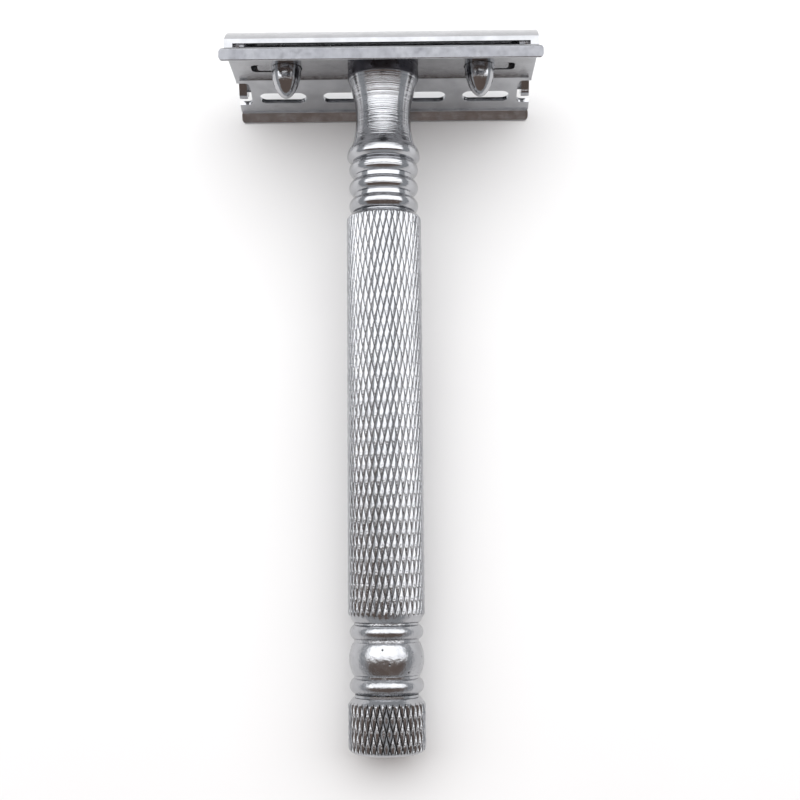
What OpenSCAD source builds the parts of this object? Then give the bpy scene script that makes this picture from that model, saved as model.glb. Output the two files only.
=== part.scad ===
// Double-edge safety razor with two doors that open when the knob is turned.
// The handle's axis is +Y, from the knob's flat end at y = 0 towards the head.
// +X runs along the head and +Z is up, out of the surface that the razor lies on.

/* [Handle] */
// Radius of the knurled grip and of the knob
grip_r = 5.25; // [5.15:0.05:5.35]
// Start of the grip's knurling, where its lower chamfer ends
grip_from = 18.7; // [18.5:0.1:18.9]
// End of the grip's knurling, where its upper chamfer starts
grip_to = 73.6; // [73.4:0.1:73.8]
// Bore of the grip tube
grip_bore_r = 4.0; // [3.95:0.01:4.05]
// Length of the knob
knob_l = 7.5; // [7.4:0.1:7.6]
// Top of the neck, where the boss of the head starts
neck_top = 94.05; // [94:0.05:94.1]

/* [Guard] */
// Length of the two safety bars
bar_l = 43.5; // [43:0.1:44]
// Width over the outer faces of the bars
bar_span = 26.1; // [26:0.1:26.4]
// Thickness of the guard's sheet
sheet_t = 0.6; // [0.55:0.05:0.6]
// Underside of the guard's flat middle strip
guard_y = 96.05; // [96:0.05:96.1]
// Lower edge of the bars
bar_bottom = 92.3; // [92.1:0.1:92.5]
// Fall of the wings from the middle strip to the bars, in degrees
wing_fall = 17.5; // [17:0.5:18]

/* [Doors] */
// Length of each door
door_l = 43; // [42.8:0.1:43.2]
// Radius of the doors' outer face
door_r = 14.55; // [14.45:0.05:14.65]
// Top of the closed doors, which is the top of the razor
crown_y = 100.3; // [100.2:0.05:100.4]
// Distance from the middle of the head to a door's lower edge
door_edge_z = 9.6; // [9.5:0.05:9.7]
// Distance from the middle of the head to a hinge
hinge_z = 7.2; // [7.15:0.05:7.25]
// Height of the hinges
hinge_y = 96.7; // [96.7:0.05:96.75]

/* [Drive] */
// Radius of the drive screw's thread, drawn as a plain cylinder
screw_r = 2.0; // [1.9:0.05:2.05]
// Running clearance on a radius
run_gap = 0.06; // [0.04:0.01:0.08]
// Radius of the pull rod
rod_r = 2.0; // [1.95:0.05:2.05]

/* [Hidden] */
$fn = 96;
small_fn = 48;
eps = 0.01;

// Handle: places along the axis and radii
sleeve_from = 7.9;          // lower face of the ring sleeve, above the thrust washer
sleeve_to = 17.5;           // upper shoulder of the ring sleeve
spigot_top = 24;            // top of the sleeve's spigot inside the tube
spigot_r = grip_bore_r;
tube_from = sleeve_to;
tube_to = 74.3;
tube_end_r = 4.6;           // radius of the tube's faces inside its chamfers
neck_spigot_from = 64;
neck_bore_r = 2.6;
neck_spigot_r = 3.2;        // spigot that holds the boss and the guard
bush_from = 88;
rod_flat_w = 3.3;           // width over the rod's two flats
rod_flat_from = 82;

// Drive: places along the axis and radii
shank_r = 2.5;              // screw's shank, pressed into the knob
shank_from = 1.8;
journal_r = 3.2;            // screw's bearing in the ring sleeve
journal_to = 25.7;
ring_groove_r = 2.9;
ring_groove_from = 24.5;
ring_t = 0.6;
screw_to = 41;
socket_from = 26.3;
socket_r = 3.6;
socket_to = 46;
rod_from = 41.5;

// Head: heights and half widths
guard_top = guard_y + sheet_t;
strip_z = 4.8;              // half width of the guard's flat middle strip
bar_z = bar_span / 2;
bar_root_t = 0.76;          // thickness of a bar at its root; it thins towards its lower edge
bar_tip_r = 0.15;
wing_slope = tan(wing_fall);
bed_y = guard_top + 0.1;    // underside of the blade bed with the razor closed
bed_crown_r = 20;           // radius that the blade bends to
bed_crown_y = 97.9;
bed_z = 6.8;
bed_x = 18.25;              // half length of the bed
bracket_in_x = 19.0;
bracket_out_x = 20.1;
ear_in_x = 20.35;
notch_x = 19.8;             // where the guard's end notches start
notch_z = [5.4, 10.3];
post_x = 13.87;             // guide posts
post_r = 2.17;
post_hole_r = 2.3;
post_tip_y = 91.55;
tenon_r = 0.9;
foot_z = 1.15;              // half width of the foot that passes through the guard
foot_corner_r = 0.6;
foot_y = 96.15;
foot_top = 97.15;
foot_in_x = 12.7;
foot_out_x = 18.0;
slot_z = 1.35;              // half width of the guard's middle slots
slot_corner_r = 0.75;
slot_in_x = 12.3;           // inner end of a middle slot, within the post's hole
slot_out_x = 18.9;
drain_z = 8.85;             // drain slots of the wings
drain_w = 2.3;
drain_x = [[3.6, 9.2], [11.6, 18.7]];
pin_r = 0.4;
pin_from = 19.05;
pin_to = 21.4;
lobe_r = 0.7;
door_t = 0.8;
door_gap = 0.1;             // from the middle plane to a door's inner edge
door_centre_y = crown_y - door_r;
door_in_r = door_r - door_t;
edge_y = 96.04;             // lower edge of a door
lip_z = 7.6;                // inner end of the band that presses on the blade
lip_y = 96.75;
rail_z = 0.7;               // rail that enters the slot of the blade
rail_x = [2.9, 11.6];
rail_top = 98.6;
rivet_r = 2.1;

// Height of the guard's upper face at a distance z from the middle plane
function guard_top_at(z) = guard_top - wing_slope * max(0, z - strip_z);
// Height of an arc about (0, centre_y)
function arc_y(centre_y, r, z) = centre_y + sqrt(r * r - z * z);
// Points [r, y] of an arc about (cr, cy), from angle a to angle b
function arc(cr, cy, r, a, b, n = 12) =
    [for (i = [0:n]) let (t = a + (b - a) * i / n) [cr + r * cos(t), cy + r * sin(t)]];
// Points of a cubic curve from p to s with handles q and r
function curve(p, q, r, s, n = 10) =
    [for (i = [0:n]) let (t = i / n, u = 1 - t)
        u * u * u * p + 3 * u * u * t * q + 3 * u * t * t * r + t * t * t * s];
// Upper side of an arched section: points [z, y] from z = a to z = b
function arch(centre_y, r, a, b, n = 16) =
    [for (i = [0:n]) let (z = a + (b - a) * i / n) [z, arc_y(centre_y, r, z)]];

// Turns an outline [radius, y] about the handle's axis
module turned(points) {
    rotate([-90, 0, 0]) rotate_extrude() polygon(points);
}
// Cylinder along the handle's axis
module rod_y(r, from, to, x = 0, fn = $fn) {
    translate([x, from, 0]) rotate([-90, 0, 0]) cylinder(r = r, h = to - from, $fn = fn);
}
// Cylinder along X at z, y
module rod_x(r, from, to, z, y) {
    translate([from, y, z]) rotate([0, 90, 0]) cylinder(r = r, h = to - from, $fn = small_fn);
}
// Extrudes an outline [z, y] along X from x = a to x = b
module section(points, a, b) {
    translate([(a + b) / 2, 0, 0]) rotate([0, -90, 0])
        linear_extrude(b - a, center = true) polygon(points);
}
// Upright bar with round ends, its middle at z, from x = a to x = b
module pill(a, b, z, w, from, to) {
    for (x = [a + w / 2, b - w / 2]) {
        translate([x, from, z]) rotate([-90, 0, 0]) cylinder(d = w, h = to - from, $fn = small_fn);
    }
    translate([a + w / 2, from, z - w / 2]) cube([b - a - w, to - from, w]);
}
// Upright bar with rounded corners, centred on z = 0
module rounded_bar(a, b, half_w, r, from, to) {
    for (wing = [-1, 1]) {
        pill(a, b, wing * (half_w - r), 2 * r, from, to);
    }
    translate([a, from, r - half_w]) cube([b - a, to - from, 2 * (half_w - r)]);
}

// Knurled brass tube that the hand holds
module grip_tube() color("silver") {
    turned([[grip_bore_r, tube_from], [tube_end_r, tube_from], [grip_r, grip_from],
            [grip_r, grip_to], [tube_end_r + 0.1, tube_to], [grip_bore_r, tube_to]]);
}

// Turned sleeve with ring, ball and ring, whose spigot closes the tube's lower end
module ring_sleeve() color("silver") {
    bore = journal_r + run_gap;
    turned(concat(
        [[bore, sleeve_from], [4.4, sleeve_from]],
        arc(3.9, 9.05, 1.15, -60, 60),
        arc(0.44, 12.6, 4.66, -26, 26),
        arc(3.9, 16.2, 1.12, -60, 60),
        [[4.45, sleeve_to], [spigot_r, sleeve_to], [spigot_r, spigot_top], [bore, spigot_top]]));
}

// Turned neck: three rings, a collar and a waisted throat, with a spigot at each end
module neck() color("silver") {
    ring_pitch = 2.63;
    rings = [for (i = [0:2]) each arc(3.68, tube_to + 1.25 + ring_pitch * i, 1.2, -55, 55)];
    turned(concat(
        [[neck_bore_r, neck_spigot_from], [spigot_r, neck_spigot_from],
         [spigot_r, tube_to], [4.3, tube_to]],
        rings,
        [[4.72, 82.1]],
        curve([5.15, 82.65], [5.15, 83.3], [4.95, 83.75], [4.62, 84.1], 6),
        curve([4.62, 84.1], [4.2, 84.8], [3.88, 86.5], [3.88, 88.6]),
        curve([3.88, 88.6], [3.88, 90.6], [4.3, 91.6], [4.97, neck_top]),
        [[neck_spigot_r, neck_top], [neck_spigot_r, guard_top], [neck_bore_r, guard_top]]));
}

// Bush with a two-flat hole that keeps the rod from turning
module neck_bush() color("goldenrod") {
    difference() {
        rod_y(neck_bore_r, bush_from, guard_top);
        intersection() {
            rod_y(rod_r + run_gap, bush_from - 1, guard_top + 1);
            translate([-rod_flat_w / 2 - run_gap, bush_from - 1, -4])
                cube([rod_flat_w + 2 * run_gap, guard_top - bush_from + 2, 8]);
        }
    }
}

// Plain ring between the neck and the guard
module guard_boss() color("gray") {
    turned([[neck_spigot_r, neck_top], [5.05, neck_top], [5.05, guard_y], [neck_spigot_r, guard_y]]);
}

// Stamped guard: flat strip, two falling wings and two safety bars, with its slots and notches
module guard_plate() color("silver") {
    upper = bar_z - 0.35;
    root_z = bar_z - bar_root_t;
    half = concat(
        [[strip_z, guard_top], [upper, guard_top_at(upper)]],
        arc(bar_z - 0.4, guard_top_at(upper) - 0.42, 0.4, 70, 0, 4),
        arc(bar_z - bar_tip_r, bar_bottom + bar_tip_r, bar_tip_r, 0, -160, 8),
        [[root_z, guard_top_at(root_z) - sheet_t], [strip_z, guard_y]]);
    mirrored = [for (i = [len(half) - 1:-1:0]) [-half[i][0], half[i][1]]];
    difference() {
        section(concat(half, mirrored), -bar_l / 2, bar_l / 2);
        rod_y(neck_spigot_r, guard_y - 1, guard_top + 1);
        for (side = [-1, 1]) {
            rod_y(post_hole_r, guard_y - 1, guard_top + 1, side * post_x);
            rounded_bar(side > 0 ? slot_in_x : -slot_out_x, side > 0 ? slot_out_x : -slot_in_x,
                        slot_z, slot_corner_r, guard_y - 1, guard_top + 1);
            for (wing = [-1, 1], span = drain_x) {
                mid = side * (span[0] + span[1]) / 2;
                half_l = (span[1] - span[0]) / 2;
                pill(mid - half_l, mid + half_l, wing * drain_z, drain_w, bar_bottom, guard_top);
            }
            for (wing = [-1, 1]) {
                translate([side > 0 ? notch_x : -notch_x - 3, 93, wing > 0 ? notch_z[0] : -notch_z[1]])
                    cube([3, 5, notch_z[1] - notch_z[0]]);
            }
        }
    }
}

// Knurled knob at the lower end
module knob() color("silver") {
    turned([[0, 0], [3.9, 0], [4.85, 0.3], [grip_r, 1], [grip_r, knob_l - 0.9],
            [4.55, knob_l], [shank_r, knob_l], [shank_r, shank_from], [0, shank_from]]);
}

// Screw that turns with the knob; the ring sleeve is its bearing
module drive_screw() color("goldenrod") {
    turned([[0, shank_from], [shank_r, shank_from], [shank_r, knob_l], [journal_r, knob_l],
            [journal_r, ring_groove_from], [ring_groove_r, ring_groove_from],
            [ring_groove_r, ring_groove_from + ring_t], [journal_r, ring_groove_from + ring_t],
            [journal_r, journal_to], [screw_r, journal_to], [screw_r, screw_to], [0, screw_to]]);
}

// Flat washer in the parting between knob and sleeve
module thrust_washer() color("gray") {
    washer_from = knob_l + 0.02;
    turned([[journal_r + 0.02, washer_from], [4.35, washer_from],
            [4.35, sleeve_from - 0.05], [journal_r + 0.02, sleeve_from - 0.05]]);
}

// Wave washer that keeps the knob from working loose, drawn flattened
module wave_washer() color("dimgray") {
    turned([[journal_r + 0.02, spigot_top + 0.05], [3.85, spigot_top + 0.05],
            [3.85, ring_groove_from - 0.02], [journal_r + 0.02, ring_groove_from - 0.02]]);
}

// Ring that snaps into the screw's groove, above the sleeve's spigot
module retaining_ring() color("dimgray") {
    difference() {
        rod_y(3.8, ring_groove_from, ring_groove_from + ring_t);
        rod_y(ring_groove_r, ring_groove_from - 1, ring_groove_from + ring_t + 1);
        translate([-0.7, ring_groove_from - 1, 0]) cube([1.4, 3, 5]);
    }
}

// Rod that lifts the head's moving parts: two flats above, a tenon at the top
module pull_rod() color("silver") {
    rod_y(rod_r, rod_from, rod_flat_from);
    intersection() {
        rod_y(rod_r, rod_flat_from - eps, bed_y);
        translate([-rod_flat_w / 2, rod_flat_from - 1, -4]) cube([rod_flat_w, 40, 8]);
    }
    rod_y(1.5, bed_y - eps, bed_crown_y + 0.1);
}

// Bush on the rod's lower end, threaded to run on the drive screw
module threaded_socket() color("goldenrod") {
    turned([[screw_r + run_gap, socket_from], [socket_r, socket_from], [socket_r, socket_to - 1],
            [socket_r - 1, socket_to], [rod_r, socket_to], [rod_r, rod_from],
            [screw_r + run_gap, rod_from]]);
}

// Bed that carries the blade: arched top, with a rail for the blade's slot
module blade_bed() color("silver") {
    top = arch(bed_crown_y - bed_crown_r, bed_crown_r, bed_z, -bed_z, 20);
    bottom = [[-bed_z, bed_y - 0.5], [-strip_z - 0.4, bed_y], [strip_z + 0.4, bed_y],
              [bed_z, bed_y - 0.5]];
    difference() {
        union() {
            section(concat(top, bottom), -bed_x, bed_x);
            for (side = [-1, 1]) {
                translate([side > 0 ? rail_x[0] : -rail_x[1], bed_y + 0.5, -rail_z])
                    cube([rail_x[1] - rail_x[0], rail_top - bed_y - 0.5, 2 * rail_z]);
            }
        }
        rod_y(1.5, bed_y - 1, rail_top + 1);
        for (side = [-1, 1]) {
            rod_y(tenon_r, bed_y - 1, rail_top + 1, side * post_x);
            rod_y(tenon_r + 0.5, bed_crown_y - 0.35, rail_top + 1, side * post_x);
            translate([side > 0 ? foot_in_x : -bed_x - 1, bed_y - 1, -foot_z])
                cube([bed_x + 1 - foot_in_x, foot_top - bed_y + 1, 2 * foot_z]);
        }
    }
}

// Domed rivet head that fixes the bed on the rod's tenon
module bed_rivet() color("silver") {
    seat = bed_crown_y + 0.1;
    turned([[0, seat], [rivet_r, seat], [rivet_r, seat + 0.35], [1.6, seat + 0.7],
            [0.8, seat + 0.85], [0, seat + 0.85]]);
}

// End bracket: arched end of the bed, two hinge lobes and a foot through the guard
module end_bracket(side) {
    top = arch(bed_crown_y - bed_crown_r - 0.02, bed_crown_r, bed_z, -bed_z, 20);
    bottom = [[-bed_z, bed_y - 0.5], [-strip_z - 0.4, bed_y], [strip_z + 0.4, bed_y],
              [bed_z, bed_y - 0.5]];
    difference() {
        union() {
            section_side(side, concat(top, bottom), bed_x + 0.02, bracket_out_x);
            for (wing = [-1, 1]) {
                arm = [[wing * (bed_z - 0.6), bed_y - 0.3], [wing * hinge_z, hinge_y - lobe_r],
                       [wing * hinge_z, hinge_y + lobe_r], [wing * (bed_z - 0.6), bed_y + 0.1]];
                section_side(side, arm, bracket_in_x, bracket_out_x);
                rod_x(lobe_r, side > 0 ? bracket_in_x : -bracket_out_x,
                      side > 0 ? bracket_out_x : -bracket_in_x, wing * hinge_z, hinge_y);
            }
            foot(side);
        }
        rod_y(tenon_r, foot_y - 1, foot_top + 1, side * post_x);
        for (wing = [-1, 1]) {
            rod_x(pin_r, side > 0 ? pin_from : -bracket_out_x - 1,
                  side > 0 ? bracket_out_x + 1 : -pin_from, wing * hinge_z, hinge_y);
        }
    }
}
// Bracket's foot: rounded where it stands in the guard's slot, square in the bed's groove
module foot(side) {
    rounded_bar(side > 0 ? foot_in_x : -foot_out_x, side > 0 ? foot_out_x : -foot_in_x,
                foot_z, foot_corner_r, foot_y, foot_top);
    translate([side > 0 ? foot_in_x : -bed_x - 0.5, bed_y, -foot_z])
        cube([bed_x + 0.5 - foot_in_x, foot_top - bed_y, 2 * foot_z]);
}
// Section between two distances from the head's middle, on one side of it
module section_side(side, points, near, far) {
    section(points, side > 0 ? near : -far, side > 0 ? far : -near);
}
module end_bracket_left() color("gainsboro") end_bracket(-1);
module end_bracket_right() color("gainsboro") end_bracket(1);

// Pointed post that finds its hole in the guard as the bed comes down
module guide_post(side) {
    outline = concat(
        curve([0, post_tip_y], [0.75, post_tip_y], [post_r, 93.2], [post_r, guard_y], 16),
        [[post_r, foot_y], [tenon_r, foot_y], [tenon_r, bed_crown_y - 0.35],
         [tenon_r + 0.5, bed_crown_y - 0.35], [tenon_r + 0.5, bed_crown_y - 0.1],
         [0, bed_crown_y - 0.1]]);
    translate([side * post_x, 0, 0]) turned(outline);
}
module guide_post_left() color("silver") guide_post(-1);
module guide_post_right() color("silver") guide_post(1);

// Four hinge pins, pressed into the brackets' lobes
module hinge_pins() color("gray") {
    for (side = [-1, 1], wing = [-1, 1]) {
        rod_x(pin_r, side > 0 ? pin_from : -pin_to, side > 0 ? pin_to : -pin_from,
              wing * hinge_z, hinge_y);
    }
}

// Door: arched shell with a band that presses on the blade, and an ear at each end
module door(wing) {
    outer = [for (p = arch(door_centre_y, door_r, door_gap, door_edge_z)) [wing * p[0], p[1]]];
    inner_from = lip_z - 0.35;
    inner = [for (p = arch(door_centre_y, door_in_r, inner_from, door_gap)) [wing * p[0], p[1]]];
    shell = concat(outer, [[wing * door_edge_z, edge_y], [wing * lip_z, lip_y]], inner);
    ear_half = concat(
        arch(door_centre_y, door_r - door_t / 2, 6.1, 9.3, 6),
        [[door_edge_z, edge_y + 0.1], [door_edge_z, 95.45], [door_edge_z - 0.15, 95.3], [8.75, 95.3]],
        arc(7.75, 95.25, 0.85, -10, -170, 12),
        [[6.5, 95.9], [6.1, 96.6]]);
    ear = [for (p = ear_half) [wing * p[0], p[1]]];
    relief_r = lobe_r + 0.12;
    difference() {
        union() {
            section(shell, -door_l / 2, door_l / 2);
            for (side = [-1, 1]) {
                section_side(side, ear, ear_in_x, door_l / 2);
            }
        }
        for (side = [-1, 1]) {
            rod_x(relief_r, side > 0 ? bracket_in_x - 0.15 : -bracket_out_x - 0.15,
                  side > 0 ? bracket_out_x + 0.15 : -bracket_in_x + 0.15, wing * hinge_z, hinge_y);
            rod_x(pin_r + run_gap, side > 0 ? ear_in_x - 0.3 : -door_l / 2 - 1,
                  side > 0 ? door_l / 2 + 1 : -ear_in_x + 0.3, wing * hinge_z, hinge_y);
        }
    }
}
module front_door() color("silver") door(1);
module rear_door() color("silver") door(-1);

grip_tube();
ring_sleeve();
neck();
neck_bush();
guard_boss();
guard_plate();
knob();
drive_screw();
thrust_washer();
wave_washer();
retaining_ring();
pull_rod();
threaded_socket();
blade_bed();
bed_rivet();
end_bracket_left();
end_bracket_right();
guide_post_left();
guide_post_right();
hinge_pins();
front_door();
rear_door();
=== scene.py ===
import math

import bpy
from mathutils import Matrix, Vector


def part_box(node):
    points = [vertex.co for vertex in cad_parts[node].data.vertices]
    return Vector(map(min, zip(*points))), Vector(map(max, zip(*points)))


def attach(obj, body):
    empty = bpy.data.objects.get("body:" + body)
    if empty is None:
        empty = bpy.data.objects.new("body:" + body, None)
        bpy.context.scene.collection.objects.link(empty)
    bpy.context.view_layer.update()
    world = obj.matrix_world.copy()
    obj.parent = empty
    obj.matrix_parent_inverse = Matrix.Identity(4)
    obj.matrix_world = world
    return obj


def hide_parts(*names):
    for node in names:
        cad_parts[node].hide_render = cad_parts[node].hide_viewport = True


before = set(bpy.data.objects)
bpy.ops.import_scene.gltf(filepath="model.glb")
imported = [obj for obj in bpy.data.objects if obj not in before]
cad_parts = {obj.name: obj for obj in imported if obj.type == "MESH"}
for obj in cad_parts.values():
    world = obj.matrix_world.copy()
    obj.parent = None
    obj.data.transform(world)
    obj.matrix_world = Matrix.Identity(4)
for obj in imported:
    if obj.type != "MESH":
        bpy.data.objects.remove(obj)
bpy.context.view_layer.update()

# ---------------------------------------------------------------------------------------------
# The camera looks down on the razor from above the grip. The razor lies on a white table,
# touching it with the knob and with one safety bar, so the table falls away from the handle's
# axis by a few degrees.
MM = 0.001
knob_low, knob_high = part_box("knob")
guard_low, guard_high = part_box("guard_plate")

camera_data = bpy.data.cameras.new("camera")
camera_data.lens = 60.4
camera = bpy.data.objects.new("camera", camera_data)
camera.location = Vector((3.73, 25.6, 185.4)) * MM
camera.rotation_mode = "ZXY"
camera.rotation_euler = (math.radians(6.88), math.radians(0.51), math.radians(-0.45))
bpy.context.scene.collection.objects.link(camera)
bpy.context.scene.camera = camera
bpy.context.scene.view_settings.view_transform = "Standard"


def srgb(hex_colour):
    """Linear colour of an sRGB hex value such as "8c8f94"."""
    parts = [int(hex_colour[i:i + 2], 16) / 255 for i in (0, 2, 4)]
    return [p / 12.92 if p <= 0.04045 else ((p + 0.055) / 1.055) ** 2.4 for p in parts] + [1.0]


def node(tree, kind, settings=None, **inputs):
    """Adds a node; each input is a constant, or the output that it is linked from."""
    made = tree.nodes.new(kind)
    for name, value in (settings or {}).items():
        setattr(made, name, value)
    for name, value in inputs.items():
        socket = made.inputs[int(name[1:]) if name[1:].isdigit() else name.replace("_", " ")]
        if isinstance(value, bpy.types.NodeSocket):
            tree.links.new(value, socket)
        else:
            socket.default_value = value
    return made


def material(name):
    """A new material with its node tree and its Principled shader."""
    made = bpy.data.materials.new(name)
    made.use_nodes = True
    return made, made.node_tree, made.node_tree.nodes["Principled BSDF"]


def deselect():
    bpy.ops.object.select_all(action="DESELECT")


# The table top: painted white board with a faint mottle
table_paint, tree, shader = material("white_board")
place = node(tree, "ShaderNodeTexCoord").outputs["Object"]
mottle = node(tree, "ShaderNodeTexNoise", Vector=place, Scale=1 / (40 * MM), Detail=3.0)
tone = node(tree, "ShaderNodeValToRGB", Fac=mottle.outputs["Fac"])
tone.color_ramp.elements[0].color = srgb("efeeee")
tone.color_ramp.elements[1].color = srgb("f3f3f3")
tree.links.new(tone.outputs["Color"], shader.inputs["Base Color"])
shader.inputs["Roughness"].default_value = 0.75
shader.inputs["Specular IOR Level"].default_value = 0.25

knob_foot = Vector((0, knob_low.y + 1.0 * MM, knob_low.z))
bar_foot = Vector((0, guard_low.y + 0.2 * MM, guard_low.z))
table_fall = math.atan2(knob_foot.z - bar_foot.z, bar_foot.y - knob_foot.y)
deselect()
bpy.ops.mesh.primitive_plane_add(
    size=1.6, location=(knob_foot + bar_foot) / 2 - Vector((0, 0, 0.02 * MM)),
    rotation=(-table_fall, 0, 0))
table_top = bpy.context.object
table_top.name = "table_top"
table_top.data.materials.append(table_paint)

# The room: an even pale light all round, seen as white where the camera looks past the table
world = bpy.data.worlds.new("room")
bpy.context.scene.world = world
world.use_nodes = True
tree = world.node_tree
tree.nodes.clear()
seen = node(tree, "ShaderNodeLightPath").outputs["Is Camera Ray"]
room_light = node(tree, "ShaderNodeBackground", Color=srgb("e3e6ea"), Strength=0.62)
room_seen = node(tree, "ShaderNodeBackground", Color=srgb("fbfbfb"), Strength=1.0)
mixed = node(tree, "ShaderNodeMixShader", _0=seen, _1=room_light.outputs[0], _2=room_seen.outputs[0])
node(tree, "ShaderNodeOutputWorld", Surface=mixed.outputs[0])

# A pale ceiling behind the head lights the razor and is what the bright metal mirrors; from above
# the handle's lower part towards the knob and beyond, the same ceiling is dull and brown.
CEILING = 400 * MM
CEILING_WIDE = 1.6
BROWN_LONG = 0.8
ceiling_from, ceiling_to = 25 * MM, 650 * MM
softbox_data = bpy.data.lights.new("softbox", "AREA")
softbox_data.shape = "RECTANGLE"
softbox_data.size, softbox_data.size_y = CEILING_WIDE, ceiling_to - ceiling_from
softbox_data.energy = 6.5
softbox = bpy.data.objects.new("softbox", softbox_data)
softbox.location = (0, (ceiling_from + ceiling_to) / 2, CEILING)
bpy.context.scene.collection.objects.link(softbox)

brown_paint, tree, shader = material("brown_ceiling")
tree.nodes.remove(shader)
glow = node(tree, "ShaderNodeEmission", Color=(0.20, 0.155, 0.135, 1), Strength=1.0)
tree.links.new(glow.outputs[0], tree.nodes["Material Output"].inputs["Surface"])
deselect()
bpy.ops.mesh.primitive_plane_add(size=1.0, location=(0, ceiling_from - BROWN_LONG / 2, CEILING))
brown = bpy.context.object
brown.name = "brown_ceiling"
brown.scale = (CEILING_WIDE, BROWN_LONG, 1)
brown.data.materials.append(brown_paint)
brown.visible_camera = False

# ---------------------------------------------------------------------------------------------
# Grip: a brass tube whose outside is rolled with a diamond knurl and then chamfered at both
# ends and plated with bright chrome. The crests are slightly flat and the roots are painted darker,
# painted shade in the grooves.
grip_low, grip_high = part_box("grip_tube")
GRIP_R = grip_high.x / MM
KNURL_ROUND = 36          # diamonds round the grip
KNURL_PITCH = 3.6         # length of a diamond
GROOVE_DEPTH = 0.12       # steep part of a groove
FACET_WIDTH = 0.23        # sloping rim of a diamond


def turned(name, outline, sides=128):
    """Turns an outline of (y, radius) points, in mm, about the handle's axis."""
    deselect()
    y0, r0 = outline[0]
    bpy.ops.mesh.primitive_circle_add(
        vertices=sides, radius=r0 * MM, location=(0, y0 * MM, 0), rotation=(-math.pi / 2, 0, 0))
    piece = bpy.context.object
    piece.name = name
    bpy.ops.object.mode_set(mode="EDIT")
    for (y0, r0), (y1, r1) in zip(outline, outline[1:]):
        bpy.ops.mesh.extrude_region_move(
            TRANSFORM_OT_translate={"value": (0, (y1 - y0) * MM, 0)})
        bpy.ops.transform.resize(value=(r1 / r0, 1, r1 / r0), center_override=(0, y1 * MM, 0))
    settle(piece)
    return piece


def settle(piece):
    """Merges doubles, turns the faces outwards and puts the object's place into its mesh."""
    bpy.ops.object.mode_set(mode="EDIT")
    bpy.ops.mesh.select_all(action="SELECT")
    bpy.ops.mesh.remove_doubles(threshold=0.0005 * MM)
    bpy.ops.mesh.normals_make_consistent(inside=False)
    bpy.ops.object.mode_set(mode="OBJECT")
    bpy.ops.object.transform_apply(location=True, rotation=True, scale=True)


def arc(cy, cr, radius, start, end, steps):
    """Points (y, r) of an arc about (cy, cr); 0 degrees is straight out from the axis."""
    angles = [math.radians(start + (end - start) * i / steps) for i in range(steps + 1)]
    return [(cy + radius * math.sin(a), cr + radius * math.cos(a)) for a in angles]


def curve(p, q, r, s, steps):
    """Points of a cubic curve from p to s with handles q and r."""
    made = []
    for i in range(steps + 1):
        t = i / steps
        u = 1 - t
        made.append(tuple(u ** 3 * a + 3 * u * u * t * b + 3 * u * t * t * c + t ** 3 * d
                          for a, b, c, d in zip(p, q, r, s)))
    return made


def use(piece, kind, **settings):
    """Adds a modifier, sets it and applies it."""
    for other in bpy.context.selected_objects:
        other.select_set(False)
    piece.select_set(True)
    bpy.context.view_layer.objects.active = piece
    modifier = piece.modifiers.new(kind.lower(), kind)
    for name, value in settings.items():
        setattr(modifier, name, value)
    bpy.ops.object.modifier_apply(modifier=modifier.name)


def smooth(piece, angle):
    """Shades a piece smooth, apart from edges sharper than the angle."""
    deselect()
    piece.select_set(True)
    bpy.context.view_layer.objects.active = piece
    bpy.ops.object.shade_smooth_by_angle(angle=math.radians(angle))


def cut(piece, tool, operation="DIFFERENCE", **settings):
    """Cuts a piece with another, which is used up."""
    use(piece, "BOOLEAN", operation=operation, object=tool, solver="EXACT", **settings)
    bpy.data.objects.remove(tool)


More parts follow.
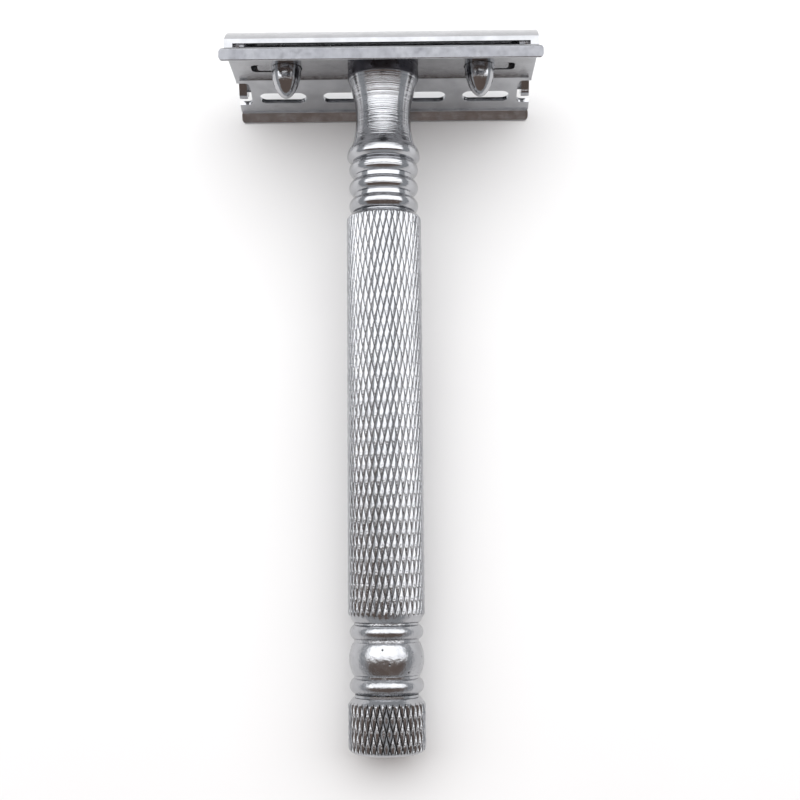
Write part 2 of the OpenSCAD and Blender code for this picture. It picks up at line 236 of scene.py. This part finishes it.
def knurled(name, y_from, y_to, envelope, wide, narrow, rise):
    """A knurled rod cut back to a turned envelope. wide is the width of the flanks along grooves
    that climb to the right, narrow that of the others; the two rollers don't cut equally.
    rise is the height of a diamond's facets."""
    root_r = (GRIP_R - GROOVE_DEPTH - rise) * MM
    half_turn = math.pi / KNURL_ROUND
    half_x, half_y = root_r * math.sin(half_turn), KNURL_PITCH / 2 * MM
    lean = math.atan2(half_x, half_y)
    deselect()
    bpy.ops.mesh.primitive_circle_add(
        vertices=4, radius=1, fill_type="NGON", location=(0, (y_from - KNURL_PITCH / 2) * MM, root_r))
    rod = bpy.context.object
    rod.name = name
    rod.scale = (half_x, half_y, 1)
    bpy.ops.object.transform_apply(location=True, rotation=True, scale=True)
    for corner in rod.data.vertices:
        if abs(corner.co.x) > 0.1 * MM:
            corner.co.z = root_r * math.cos(half_turn)
    bpy.ops.object.mode_set(mode="EDIT")
    bpy.ops.mesh.select_all(action="SELECT")
    bpy.ops.mesh.inset(thickness=(wide + narrow) / 2 * MM, depth=GROOVE_DEPTH * MM)
    bpy.ops.object.mode_set(mode="OBJECT")
    middle_y = (y_from - KNURL_PITCH / 2) * MM
    shift = (wide - narrow) / 2 * MM
    for corner in rod.data.vertices:
        if corner.select and abs(corner.co.x) > 0.1 * MM:
            corner.co.y += math.copysign(shift / math.sin(lean), corner.co.x)
        elif corner.select:
            corner.co.x += math.copysign(shift / math.cos(lean), corner.co.y - middle_y)
    bpy.ops.object.mode_set(mode="EDIT")
    bpy.ops.mesh.inset(thickness=FACET_WIDTH * MM, depth=rise * MM)
    bpy.ops.object.mode_set(mode="OBJECT")
    rows = math.ceil(2 * (y_to - y_from) / KNURL_PITCH) + 3
    for count, turn, step in ((rows, half_turn, KNURL_PITCH / 2 * MM), (KNURL_ROUND, 2 * half_turn, 0)):
        pin = bpy.data.objects.new("pin", None)
        bpy.context.scene.collection.objects.link(pin)
        pin.location = (0, step, 0)
        pin.rotation_euler = (0, turn, 0)
        bpy.context.view_layer.update()
        use(rod, "ARRAY", count=count, use_relative_offset=False, use_object_offset=True,
            offset_object=pin)
        bpy.data.objects.remove(pin)
    settle(rod)
    for y, side in ((y_from, -1), (y_to, 1)):
        bpy.ops.object.mode_set(mode="EDIT")
        bpy.ops.mesh.select_all(action="SELECT")
        bpy.ops.mesh.bisect(plane_co=(0, y * MM, 0), plane_no=(0, side, 0),
                            use_fill=True, clear_outer=True)
        bpy.ops.object.mode_set(mode="OBJECT")
    settle(rod)
    rod.data.materials.append(knurl_chrome)
    envelope.data.materials.append(end_chrome)
    cut(rod, envelope, "INTERSECT", material_mode="TRANSFER")
    settle(rod)
    return rod


def chrome(name, roughness=0.10, peel=0.35, peel_mm=0.35, lines=0.0, lines_mm=0.12,
           pits=0.0, groove_shade_r=None, ticks=0.0, dark="a4a5a8", light="b7b8bb"):
    """Bright chrome plate: a metal with an uneven skin that scatters the edges of what it mirrors.
    peel is the depth of that skin, lines that of the lathe's marks about the handle's axis,
    ticks that of short marks across a bar, pits the share of pinholes in the plate, and
    groove_shade_r the radius under which the roots of a knurl are painted darker and rougher: painted
    shade in the grooves. dark and light are the ends of the plate's tone."""
    made, tree, shader = material(name)
    shader.inputs["Metallic"].default_value = 1.0
    place = node(tree, "ShaderNodeTexCoord").outputs["Object"]
    # tone: slow clouding of the plate
    cloud = node(tree, "ShaderNodeTexNoise", Vector=place, Scale=1 / (2.5 * MM), Detail=4.0)
    tone = node(tree, "ShaderNodeValToRGB", Fac=cloud.outputs["Fac"])
    tone.color_ramp.elements[0].position, tone.color_ramp.elements[1].position = 0.3, 0.7
    tone.color_ramp.elements[0].color = srgb(dark)
    tone.color_ramp.elements[1].color = srgb(light)
    colour = tone.outputs["Color"]
    # roughness: smears and fine scratches
    smear = node(tree, "ShaderNodeTexNoise", Vector=place, Scale=1 / (0.8 * MM), Detail=6.0)
    rough = node(tree, "ShaderNodeMapRange", Value=smear.outputs["Fac"], From_Min=0.3, From_Max=0.75,
                 To_Min=roughness * 0.7, To_Max=roughness * 1.6).outputs["Result"]
    # relief: the plate's own skin
    skin = node(tree, "ShaderNodeTexNoise", Vector=place, Scale=1 / (peel_mm * MM), Detail=3.0,
                Roughness=0.6)
    relief = node(tree, "ShaderNodeBump", Height=skin.outputs["Fac"], Strength=peel,
                  Distance=0.06 * MM)
    if lines:
        along = node(tree, "ShaderNodeMapping", Vector=place, Scale=(0.004, 1, 0.004))
        mark = node(tree, "ShaderNodeTexNoise", Vector=along.outputs[0], Scale=1 / (lines_mm * MM),
                    Detail=2.0, Roughness=0.7)
        relief = node(tree, "ShaderNodeBump", Height=mark.outputs["Fac"], Strength=lines,
                      Distance=0.08 * MM, Normal=relief.outputs[0])
    if ticks:
        across = node(tree, "ShaderNodeMapping", Vector=place, Scale=(1, 0.06, 0.06))
        mark = node(tree, "ShaderNodeTexNoise", Vector=across.outputs[0], Scale=1 / (0.6 * MM),
                    Detail=3.0)
        relief = node(tree, "ShaderNodeBump", Height=mark.outputs["Fac"], Strength=ticks,
                      Distance=0.08 * MM, Normal=relief.outputs[0])
    if pits:
        cell = node(tree, "ShaderNodeTexVoronoi", Vector=place, Scale=1 / (1.6 * MM))
        hole = node(tree, "ShaderNodeMapRange", {"clamp": True}, Value=cell.outputs["Distance"],
                    From_Min=pits, From_Max=pits + 0.03, To_Min=0.0, To_Max=1.0).outputs["Result"]
        colour = node(tree, "ShaderNodeMix", {"data_type": "RGBA"}, Factor=hole,
                      _6=srgb("2a2624"), _7=colour).outputs[2]
        relief = node(tree, "ShaderNodeBump", Height=hole, Strength=0.6, Distance=0.05 * MM,
                      Normal=relief.outputs[0])
    # Painted shade: within this radius the knurl's roots are painted dark brown-grey and made rougher
    if groove_shade_r:
        split = node(tree, "ShaderNodeSeparateXYZ", Vector=place)
        flat = node(tree, "ShaderNodeCombineXYZ", X=split.outputs["X"], Y=split.outputs["Z"])
        radius = node(tree, "ShaderNodeVectorMath", {"operation": "LENGTH"}, _0=flat.outputs[0])
        deep = node(tree, "ShaderNodeMapRange", Value=radius.outputs["Value"],
                    From_Min=groove_shade_r * MM, From_Max=(groove_shade_r + 0.12) * MM, To_Min=1.0, To_Max=0.0)
        colour = node(tree, "ShaderNodeMix", {"data_type": "RGBA"}, Factor=deep.outputs["Result"],
                      _6=colour, _7=srgb("45413e")).outputs[2]
        rough = node(tree, "ShaderNodeMath", {"operation": "MULTIPLY_ADD"},
                     _0=deep.outputs["Result"], _1=0.25, _2=rough).outputs[0]
    tree.links.new(colour, shader.inputs["Base Color"])
    tree.links.new(rough, shader.inputs["Roughness"])
    tree.links.new(relief.outputs[0], shader.inputs["Normal"])
    return made


# Chrome over rolled knurling, with painted shade darkening the grooves; the chamfers have none
knurl_chrome = chrome("knurl_chrome", roughness=0.15, peel=0.55, peel_mm=0.3, groove_shade_r=5.0)
end_chrome = chrome("end_chrome", roughness=0.10, peel=0.4, peel_mm=0.3, lines=0.15, lines_mm=0.2)
grip_from, grip_to = grip_low.y / MM, grip_high.y / MM
envelope = turned("envelope", [
    (grip_from, 4.0), (grip_from, 4.55), (grip_from + 0.05, 4.62), (grip_from + 1.15, GRIP_R - 0.02),
    (grip_from + 1.3, GRIP_R), (grip_to - 0.8, GRIP_R), (grip_to - 0.7, GRIP_R - 0.03),
    (grip_to - 0.05, 4.74), (grip_to, 4.66), (grip_to, 4.0), (grip_from, 4.0)])
grip = knurled("grip", grip_from - 0.5, grip_to + 0.5, envelope, wide=0.13, narrow=0.05, rise=0.10)
use(grip, "BEVEL", width=0.02 * MM, segments=1, limit_method="ANGLE", angle_limit=math.radians(18))
smooth(grip, 16)
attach(grip, "handle")
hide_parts("grip_tube")

# ---------------------------------------------------------------------------------------------
# Ring sleeve: turned from brass bar with a ring, a barrel and a ring, plated; its spigot is
# pressed into the grip's lower end, and the knob's screw turns in its bore.
sleeve_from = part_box("ring_sleeve")[0].y / MM
sleeve_outline = (
    [(sleeve_from, 3.26), (sleeve_from, 4.3), (sleeve_from + 0.12, 4.42)]
    + arc(9.05, 3.9, 1.15, -62, 62, 14)
    + [(10.38, 4.46)]
    + arc(12.6, 0.44, 4.66, -26.5, 26.5, 20)
    + [(14.86, 4.44)]
    + arc(16.2, 3.9, 1.12, -62, 62, 14)
    + [(17.42, 4.42), (17.5, 4.3), (17.5, 4.0), (24.0, 4.0), (24.0, 3.26), (sleeve_from, 3.26)])
sleeve = turned("ring_barrel_sleeve", sleeve_outline)
smooth(sleeve, 35)
# Chrome over fine turning, with a few pinholes where moisture has got under the plate
turned_chrome = chrome("turned_chrome", roughness=0.20, peel=0.9, peel_mm=0.5, lines=0.06,
                       lines_mm=0.4, pits=0.06)
sleeve.data.materials.append(turned_chrome)
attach(sleeve, "handle")
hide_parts("ring_sleeve")

# ---------------------------------------------------------------------------------------------
# Neck: turned from brass bar, three rings, a collar and a waisted throat, plated; the throat
# keeps the marks of the form tool under the plate.
ring_pitch = 2.63
neck_rings = []
for i in range(3):
    neck_rings += arc(75.55 + ring_pitch * i, 3.68, 1.2, -62, 62, 14)
neck_outline = (
    [(64.0, 2.6), (64.0, 4.0), (74.3, 4.0), (74.3, 4.15), (74.38, 4.25)]
    + neck_rings
    + [(82.0, 4.62), (82.12, 4.72), (82.3, 5.02), (82.42, 5.12)]
    + curve((82.65, 5.15), (83.3, 5.15), (83.75, 4.95), (84.1, 4.62), 8)
    + curve((84.1, 4.62), (84.8, 4.2), (86.5, 3.88), (88.6, 3.88), 14)[1:]
    + curve((88.6, 3.88), (90.6, 3.88), (91.6, 4.3), (93.95, 4.93), 16)[1:]
    + [(94.02, 4.95), (94.05, 4.9), (94.05, 3.2), (96.65, 3.2), (96.65, 2.6), (64.0, 2.6)])
neck = turned("ringed_neck", neck_outline)
smooth(neck, 35)
# Chrome over coarse turning: the tool's marks show as bright and dark rings
throat_chrome = chrome("throat_chrome", roughness=0.12, peel=0.12, peel_mm=0.4, lines=0.8,
                       lines_mm=0.35)
neck.data.materials.append(throat_chrome)
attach(neck, "handle")
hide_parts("neck")

# ---------------------------------------------------------------------------------------------
# Knob: brass, knurled like the grip, its lower end rounded over and its upper edge chamfered.
# A blind bore in its upper end takes the drive screw; both sets of its flanks are equally wide.
knob_from, knob_to = knob_low.y / MM, knob_high.y / MM
knob_envelope = turned("envelope", (
    [(1.8, 0.02), (knob_from, 0.02), (knob_from, 3.9)]
    + curve((knob_from, 3.9), (0.0, 4.75), (0.35, 5.25), (1.15, GRIP_R), 8)[1:]
    + [(knob_to - 0.95, GRIP_R), (knob_to - 0.85, GRIP_R - 0.05), (knob_to - 0.06, 4.62),
       (knob_to, 4.5), (knob_to, 2.5), (1.8, 2.5), (1.8, 0.02)]))
knob = knurled("knurled_knob", knob_from - 0.5, knob_to + 0.5, knob_envelope, wide=0.07, narrow=0.07,
               rise=0.15)
use(knob, "BEVEL", width=0.02 * MM, segments=1, limit_method="ANGLE", angle_limit=math.radians(18))
smooth(knob, 16)
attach(knob, "knob")
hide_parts("knob")

# ---------------------------------------------------------------------------------------------
# Guard: a brass sheet stamped with slots and end notches, pressed into a shallow roof with two
# safety bars turned down along its edges, and plated.
GUARD_T = 0.6
guard_top = guard_high.y / MM
BAR_Z = guard_high.z / MM
STRIP_Z = 4.8
WING_FALL = math.radians(17.5)
bar_low_y = guard_low.y / MM
half_bar = guard_high.x / MM


def rounded(corners, steps=6):
    """Outline through corners (z, y, radius), each rounded to its radius."""
    made = []
    for i, (z, y, radius) in enumerate(corners):
        here = Vector((z, y))
        if not radius:
            made.append((z, y))
            continue
        before = (Vector(corners[i - 1][:2]) - here).normalized()
        after = (Vector(corners[(i + 1) % len(corners)][:2]) - here).normalized()
        half = before.angle(after) / 2
        centre = here + (before + after).normalized() * radius / math.sin(half)
        start = (here + before * radius / math.tan(half) - centre).normalized()
        end = (here + after * radius / math.tan(half) - centre).normalized()
        made += [tuple(centre + start.slerp(end, step / steps) * radius) for step in range(steps + 1)]
    return made


def pressed(name, outline, x_from, x_to):
    """Draws an outline of (z, y) points, in mm, along X from one place to another."""
    deselect()
    bpy.ops.mesh.primitive_circle_add(vertices=len(outline), radius=MM, fill_type="NGON")
    made = bpy.context.object
    made.name = name
    for corner, (z, y) in zip(made.data.vertices, outline):
        corner.co = Vector((x_from, y, z)) * MM
    bpy.ops.object.mode_set(mode="EDIT")
    bpy.ops.mesh.select_all(action="SELECT")
    bpy.ops.mesh.extrude_region_move(TRANSFORM_OT_translate={"value": ((x_to - x_from) * MM, 0, 0)})
    settle(made)
    return made


def pick(piece, kind, test):
    """Selects the vertices, edges or faces whose middle passes a test, in edit mode after."""
    bpy.ops.object.mode_set(mode="EDIT")
    bpy.ops.mesh.select_mode(type={"vertices": "VERT", "edges": "EDGE", "polygons": "FACE"}[kind])
    bpy.ops.mesh.select_all(action="DESELECT")
    bpy.ops.object.mode_set(mode="OBJECT")
    mesh = piece.data
    for item in getattr(mesh, kind):
        corners = [item.index] if kind == "vertices" else item.vertices
        middle = sum((mesh.vertices[v].co for v in corners), Vector()) / len(corners)
        direction = item.normal if kind == "polygons" else None
        if kind == "edges":
            direction = (mesh.vertices[corners[1]].co - mesh.vertices[corners[0]].co).normalized()
        item.select = bool(test(middle / MM, direction))
    bpy.ops.object.mode_set(mode="EDIT")


def block(name, low, high):
    """A box from one corner to the other, in mm."""
    deselect()
    low, high = Vector(low), Vector(high)
    bpy.ops.mesh.primitive_cube_add(size=1, location=(low + high) / 2 * MM, scale=(high - low) * MM)
    made = bpy.context.object
    made.name = name
    bpy.ops.object.transform_apply(location=True, rotation=True, scale=True)
    return made


def slot_cutter(x_from, x_to, z, width):
    """A prism with round ends that stands through the guard."""
    radius = width / 2
    deselect()
    bpy.ops.mesh.primitive_cylinder_add(
        vertices=40, radius=radius * MM, depth=8 * MM,
        location=((x_from + radius) * MM, 96 * MM, z * MM), rotation=(math.pi / 2, 0, 0))
    made = bpy.context.object
    bpy.ops.object.transform_apply(location=True, rotation=True, scale=True)
    if x_to - x_from > width:
        pick(made, "vertices", lambda at, _: at.x > x_from + radius - 0.001)
        bpy.ops.transform.translate(value=((x_to - x_from - width) * MM, 0, 0))
        bpy.ops.object.mode_set(mode="OBJECT")
    return made


BAR_ROOT_T, BAR_TIP_T = 0.76, 0.3       # the bars thin towards their lower edges
BAR_END_R = 0.6
NECK_HOLE_R = 3.2
DRAIN_SPANS, DRAIN_Z, DRAIN_WIDE = ((3.6, 9.2), (11.6, 18.7)), 8.85, 2.3
MIDDLE_FROM, MIDDLE_TO, MIDDLE_HALF, MIDDLE_R = 12.3, 18.9, 1.35, 0.75
POST_X, POST_HOLE_R = 13.87, 2.3
NOTCH_FROM_X, NOTCH_TO_X, NOTCH_LOW_Z, NOTCH_HIGH_Z, NOTCH_R = 19.8, 23.0, 5.4, 10.3, 0.8

inner_z = BAR_Z - BAR_ROOT_T
edge_y = guard_top - (BAR_Z - STRIP_Z) * math.tan(WING_FALL)
under_y = guard_top - GUARD_T - (inner_z - STRIP_Z) * math.tan(WING_FALL)
half_section = [
    (STRIP_Z, guard_top, 1.6), (BAR_Z, edge_y, 0.4), (BAR_Z, bar_low_y, 0.15),
    (BAR_Z - BAR_TIP_T, bar_low_y, 0.15), (inner_z, under_y, 0.1), (STRIP_Z, guard_top - GUARD_T, 1.0)]
guard = pressed("slotted_guard",
                rounded(half_section + [(-z, y, r) for z, y, r in reversed(half_section)]),
                -half_bar, half_bar)
cutters = [slot_cutter(-NECK_HOLE_R, NECK_HOLE_R, 0, 2 * NECK_HOLE_R)]
for side in (-1, 1):
    low_x, high_x = sorted((side * (half_bar - BAR_END_R), side * (half_bar + 1)))
    for wing in (-1, 1):
        low_z, high_z = sorted((wing * (inner_z - 0.25), wing * (BAR_Z + 1)))
        for low_y, high_y, round_y in (
                (bar_low_y - 1, bar_low_y + BAR_END_R, bar_low_y + BAR_END_R),
                (edge_y - BAR_END_R, edge_y + 1, edge_y - BAR_END_R)):
            corner = block("corner", (low_x, low_y, low_z), (high_x, high_y, high_z))
            deselect()
            bpy.ops.mesh.primitive_cylinder_add(
                vertices=48, radius=BAR_END_R * MM, depth=50 * MM,
                location=(side * (half_bar - BAR_END_R) * MM, round_y * MM, 0))
            cut(corner, bpy.context.object)
            cutters.append(corner)
    for span in DRAIN_SPANS:
        for wing in (-1, 1):
            low_x, high_x = sorted((side * span[0], side * span[1]))
            cutters.append(slot_cutter(low_x, high_x, wing * DRAIN_Z, DRAIN_WIDE))
    low_x, high_x = sorted((side * MIDDLE_FROM, side * MIDDLE_TO))
    middle_slot = block("middle_slot", (low_x, 92, -MIDDLE_HALF), (high_x, 100, MIDDLE_HALF))
    pick(middle_slot, "edges", lambda at, along: abs(along.y) > 0.9)
    bpy.ops.mesh.bevel(offset=MIDDLE_R * MM, segments=8)
    bpy.ops.object.mode_set(mode="OBJECT")
    cutters.append(middle_slot)
    post_x = side * POST_X
    cutters.append(slot_cutter(post_x - POST_HOLE_R, post_x + POST_HOLE_R, 0, 2 * POST_HOLE_R))
    for wing in (-1, 1):
        low_z, high_z = sorted((wing * NOTCH_LOW_Z, wing * NOTCH_HIGH_Z))
        low_x, high_x = sorted((side * NOTCH_FROM_X, side * NOTCH_TO_X))
        notch = block("notch", (low_x, 90, low_z), (high_x, 100, high_z))
        pick(notch, "edges", lambda at, along: abs(along.y) > 0.9 and abs(at.x) < 20)
        bpy.ops.mesh.bevel(offset=NOTCH_R * MM, segments=6)
        bpy.ops.object.mode_set(mode="OBJECT")
        cutters.append(notch)
for cutter in cutters:
    cut(guard, cutter)
settle(guard)
use(guard, "BEVEL", width=0.10 * MM, segments=3, limit_method="ANGLE", angle_limit=math.radians(40))
smooth(guard, 32)
use(guard, "WEIGHTED_NORMAL", keep_sharp=True)
# Chrome over pressed sheet, with short marks of the polishing belt across the bars
sheet_chrome = chrome("sheet_chrome", roughness=0.16, peel=0.15, peel_mm=1.2, ticks=0.08)
guard.data.materials.append(sheet_chrome)
# The bars' outer faces: rougher chrome with strong ticks, its tone painted darker as painted shade
guard.data.materials.append(chrome("ground_shaded_chrome", roughness=0.36, peel=0.1, ticks=0.9,
                                     dark="7a7b80", light="86878b"))
# Faces looking straight out at the bars take the darker chrome: painted shade on the bars' fronts
for face in guard.data.polygons:
    if abs(face.normal.z) > 0.98 and abs(face.center.z) > (BAR_Z - 0.05) * MM:
        face.material_index = 1
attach(guard, "handle")
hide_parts("guard_plate")

# ---------------------------------------------------------------------------------------------
# Boss: a plain turned ring between the neck's rim and the guard, brazed and plated with them.
# Its plate is painted dark: painted shade in the gap between the rim and the guard.
boss = turned("plain_boss", [
    (94.05, 3.2), (94.05, 4.95), (94.12, 5.03), (94.2, 5.05), (96.0, 5.05), (96.05, 5.0),
    (96.05, 3.2), (94.05, 3.2)])
smooth(boss, 35)
# Chrome painted dark: painted shade between the neck's rim and the guard
boss.data.materials.append(chrome("boss_shaded_chrome", roughness=0.3, dark="45444a", light="5c5b60"))
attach(boss, "handle")
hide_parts("guard_boss")

# ---------------------------------------------------------------------------------------------
# Guide posts: turned brass bullets riveted up through the brackets' feet, plated bright.
# One hangs under each half of the head, beside the neck and with its blunt tip down.
post_outline = (
    curve((91.55, 0.02), (91.55, 0.75), (93.2, 2.17), (96.05, 2.17), 20)
    + [(96.12, 2.17), (96.15, 2.12), (96.15, 0.9), (97.55, 0.9), (97.55, 1.4), (97.7, 1.38),
       (97.8, 1.2), (97.8, 0.02)])
post_chrome = chrome("post_chrome", roughness=0.07, peel=0.3, peel_mm=0.3, lines=0.05, lines_mm=0.3)
for side, hand in ((-1, "left"), (1, "right")):
    post = turned(f"bullet_post_{hand}", post_outline, 64)
    post.location.x = side * POST_X * MM
    deselect()
    post.select_set(True)
    bpy.ops.object.transform_apply(location=True)
    smooth(post, 35)
    post.data.materials.append(post_chrome)
    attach(post, "carrier")
    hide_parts(f"guide_post_{hand}")

# ---------------------------------------------------------------------------------------------
# Doors: brass sheet pressed to an arch, with a folded-back band that presses on the blade and
# an ear at each end that turns on a pin; plated, and worn soft along the outer edges.
DOOR_R, DOOR_T, CROWN = 14.55, 0.8, 100.3
EDGE_Z, EDGE_Y, LIP_Z, LIP_Y = 9.6, 96.04, 7.6, 96.75
HINGE_Z, HINGE_Y = 7.2, 96.7
half_door = 21.5


def arch(radius, a, b, steps):
    """Points (z, y) of the doors' arch, from z = a to z = b."""
    stations = [a + (b - a) * i / steps for i in range(steps + 1)]
    return [(z, CROWN - DOOR_R + math.sqrt(radius * radius - z * z)) for z in stations]


# Chrome over pressed sheet, as the guard's but painted darker: painted shade over the doors
door_shaded_chrome = chrome("door_shaded_chrome", roughness=0.17, peel=0.15, peel_mm=1.2, dark="98999c",
                     light="a8a9ac")
for wing, which in ((1, "front"), (-1, "rear")):
    shell_outline = (arch(DOOR_R, 0.1, EDGE_Z, 24) + [(EDGE_Z, EDGE_Y), (LIP_Z, LIP_Y)]
                     + arch(DOOR_R - DOOR_T, LIP_Z - 0.35, 0.1, 20))
    door = pressed(f"{which}_arched_door", [(wing * z, y) for z, y in shell_outline],
                   -half_door, half_door)
    ear_lobe = [(7.75 + 0.85 * math.cos(math.radians(a)), 95.25 + 0.85 * math.sin(math.radians(a)))
                for a in range(-10, -171, -10)]
    ear_outline = (arch(DOOR_R - DOOR_T / 2, 6.1, 9.3, 8)
                   + [(EDGE_Z, EDGE_Y + 0.1), (EDGE_Z, 95.45), (EDGE_Z - 0.15, 95.3), (8.75, 95.3)]
                   + ear_lobe + [(6.5, 95.9), (6.1, 96.6)])
    for side in (-1, 1):
        low_x, high_x = sorted((side * 20.35, side * half_door))
        ear = pressed("ear", [(wing * z, y) for z, y in ear_outline], low_x, high_x)
        cut(door, ear, "UNION")
        for radius, near, far in ((0.82, 18.85, 20.25), (0.46, 20.0, 22.5)):
            deselect()
            bpy.ops.mesh.primitive_cylinder_add(
                vertices=32, radius=radius * MM, depth=(far - near) * MM, rotation=(0, math.pi / 2, 0),
                location=(side * (near + far) / 2 * MM, HINGE_Y * MM, wing * HINGE_Z * MM))
            cut(door, bpy.context.object)
    settle(door)
    use(door, "BEVEL", width=0.12 * MM, segments=3, limit_method="ANGLE",
        angle_limit=math.radians(40))
    smooth(door, 32)
    use(door, "WEIGHTED_NORMAL", keep_sharp=True)
    door.data.materials.append(door_shaded_chrome)
    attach(door, f"{which}_door")
    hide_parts(f"{which}_door")

# ---------------------------------------------------------------------------------------------
# What the head and the handle hold inside: the parts of the frame as they are, with finishes.
# Turned brass, drawn steel and blued spring steel each keep the marks of how they were made.
def plain_metal(name, dark, light, roughness):
    """A bare metal with turning or drawing marks about the handle's axis."""
    made, tree, shader = material(name)
    shader.inputs["Metallic"].default_value = 1.0
    place = node(tree, "ShaderNodeTexCoord").outputs["Object"]
    along = node(tree, "ShaderNodeMapping", Vector=place, Scale=(0.05, 1, 0.05))
    mark = node(tree, "ShaderNodeTexNoise", Vector=along.outputs[0], Scale=1 / (0.2 * MM), Detail=4.0)
    tone = node(tree, "ShaderNodeValToRGB", Fac=mark.outputs["Fac"])
    tone.color_ramp.elements[0].color = srgb(dark)
    tone.color_ramp.elements[1].color = srgb(light)
    rough = node(tree, "ShaderNodeMapRange", Value=mark.outputs["Fac"], To_Min=roughness * 0.7,
                 To_Max=roughness * 1.4)
    relief = node(tree, "ShaderNodeBump", Height=mark.outputs["Fac"], Strength=0.3,
                  Distance=0.02 * MM)
    tree.links.new(tone.outputs["Color"], shader.inputs["Base Color"])
    tree.links.new(rough.outputs["Result"], shader.inputs["Roughness"])
    tree.links.new(relief.outputs[0], shader.inputs["Normal"])
    return made


turned_brass = plain_metal("turned_brass", "a9823f", "e2c27c", 0.25)
drawn_steel = plain_metal("drawn_steel", "8d8f92", "c2c4c8", 0.22)
blued_steel = plain_metal("blued_spring_steel", "2b3038", "59616e", 0.3)
cast_chrome = chrome("cast_chrome", roughness=0.2, peel=0.5, peel_mm=0.6)
inside = {
    turned_brass: ["neck_bush", "drive_screw", "threaded_socket"],
    drawn_steel: ["thrust_washer", "pull_rod", "bed_rivet", "hinge_pins"],
    blued_steel: ["wave_washer", "retaining_ring"],
    cast_chrome: ["end_bracket_left", "end_bracket_right", "blade_bed"],
}
for finish, names in inside.items():
    for name in names:
        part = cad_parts[name]
        part.data.materials.clear()
        part.data.materials.append(finish)
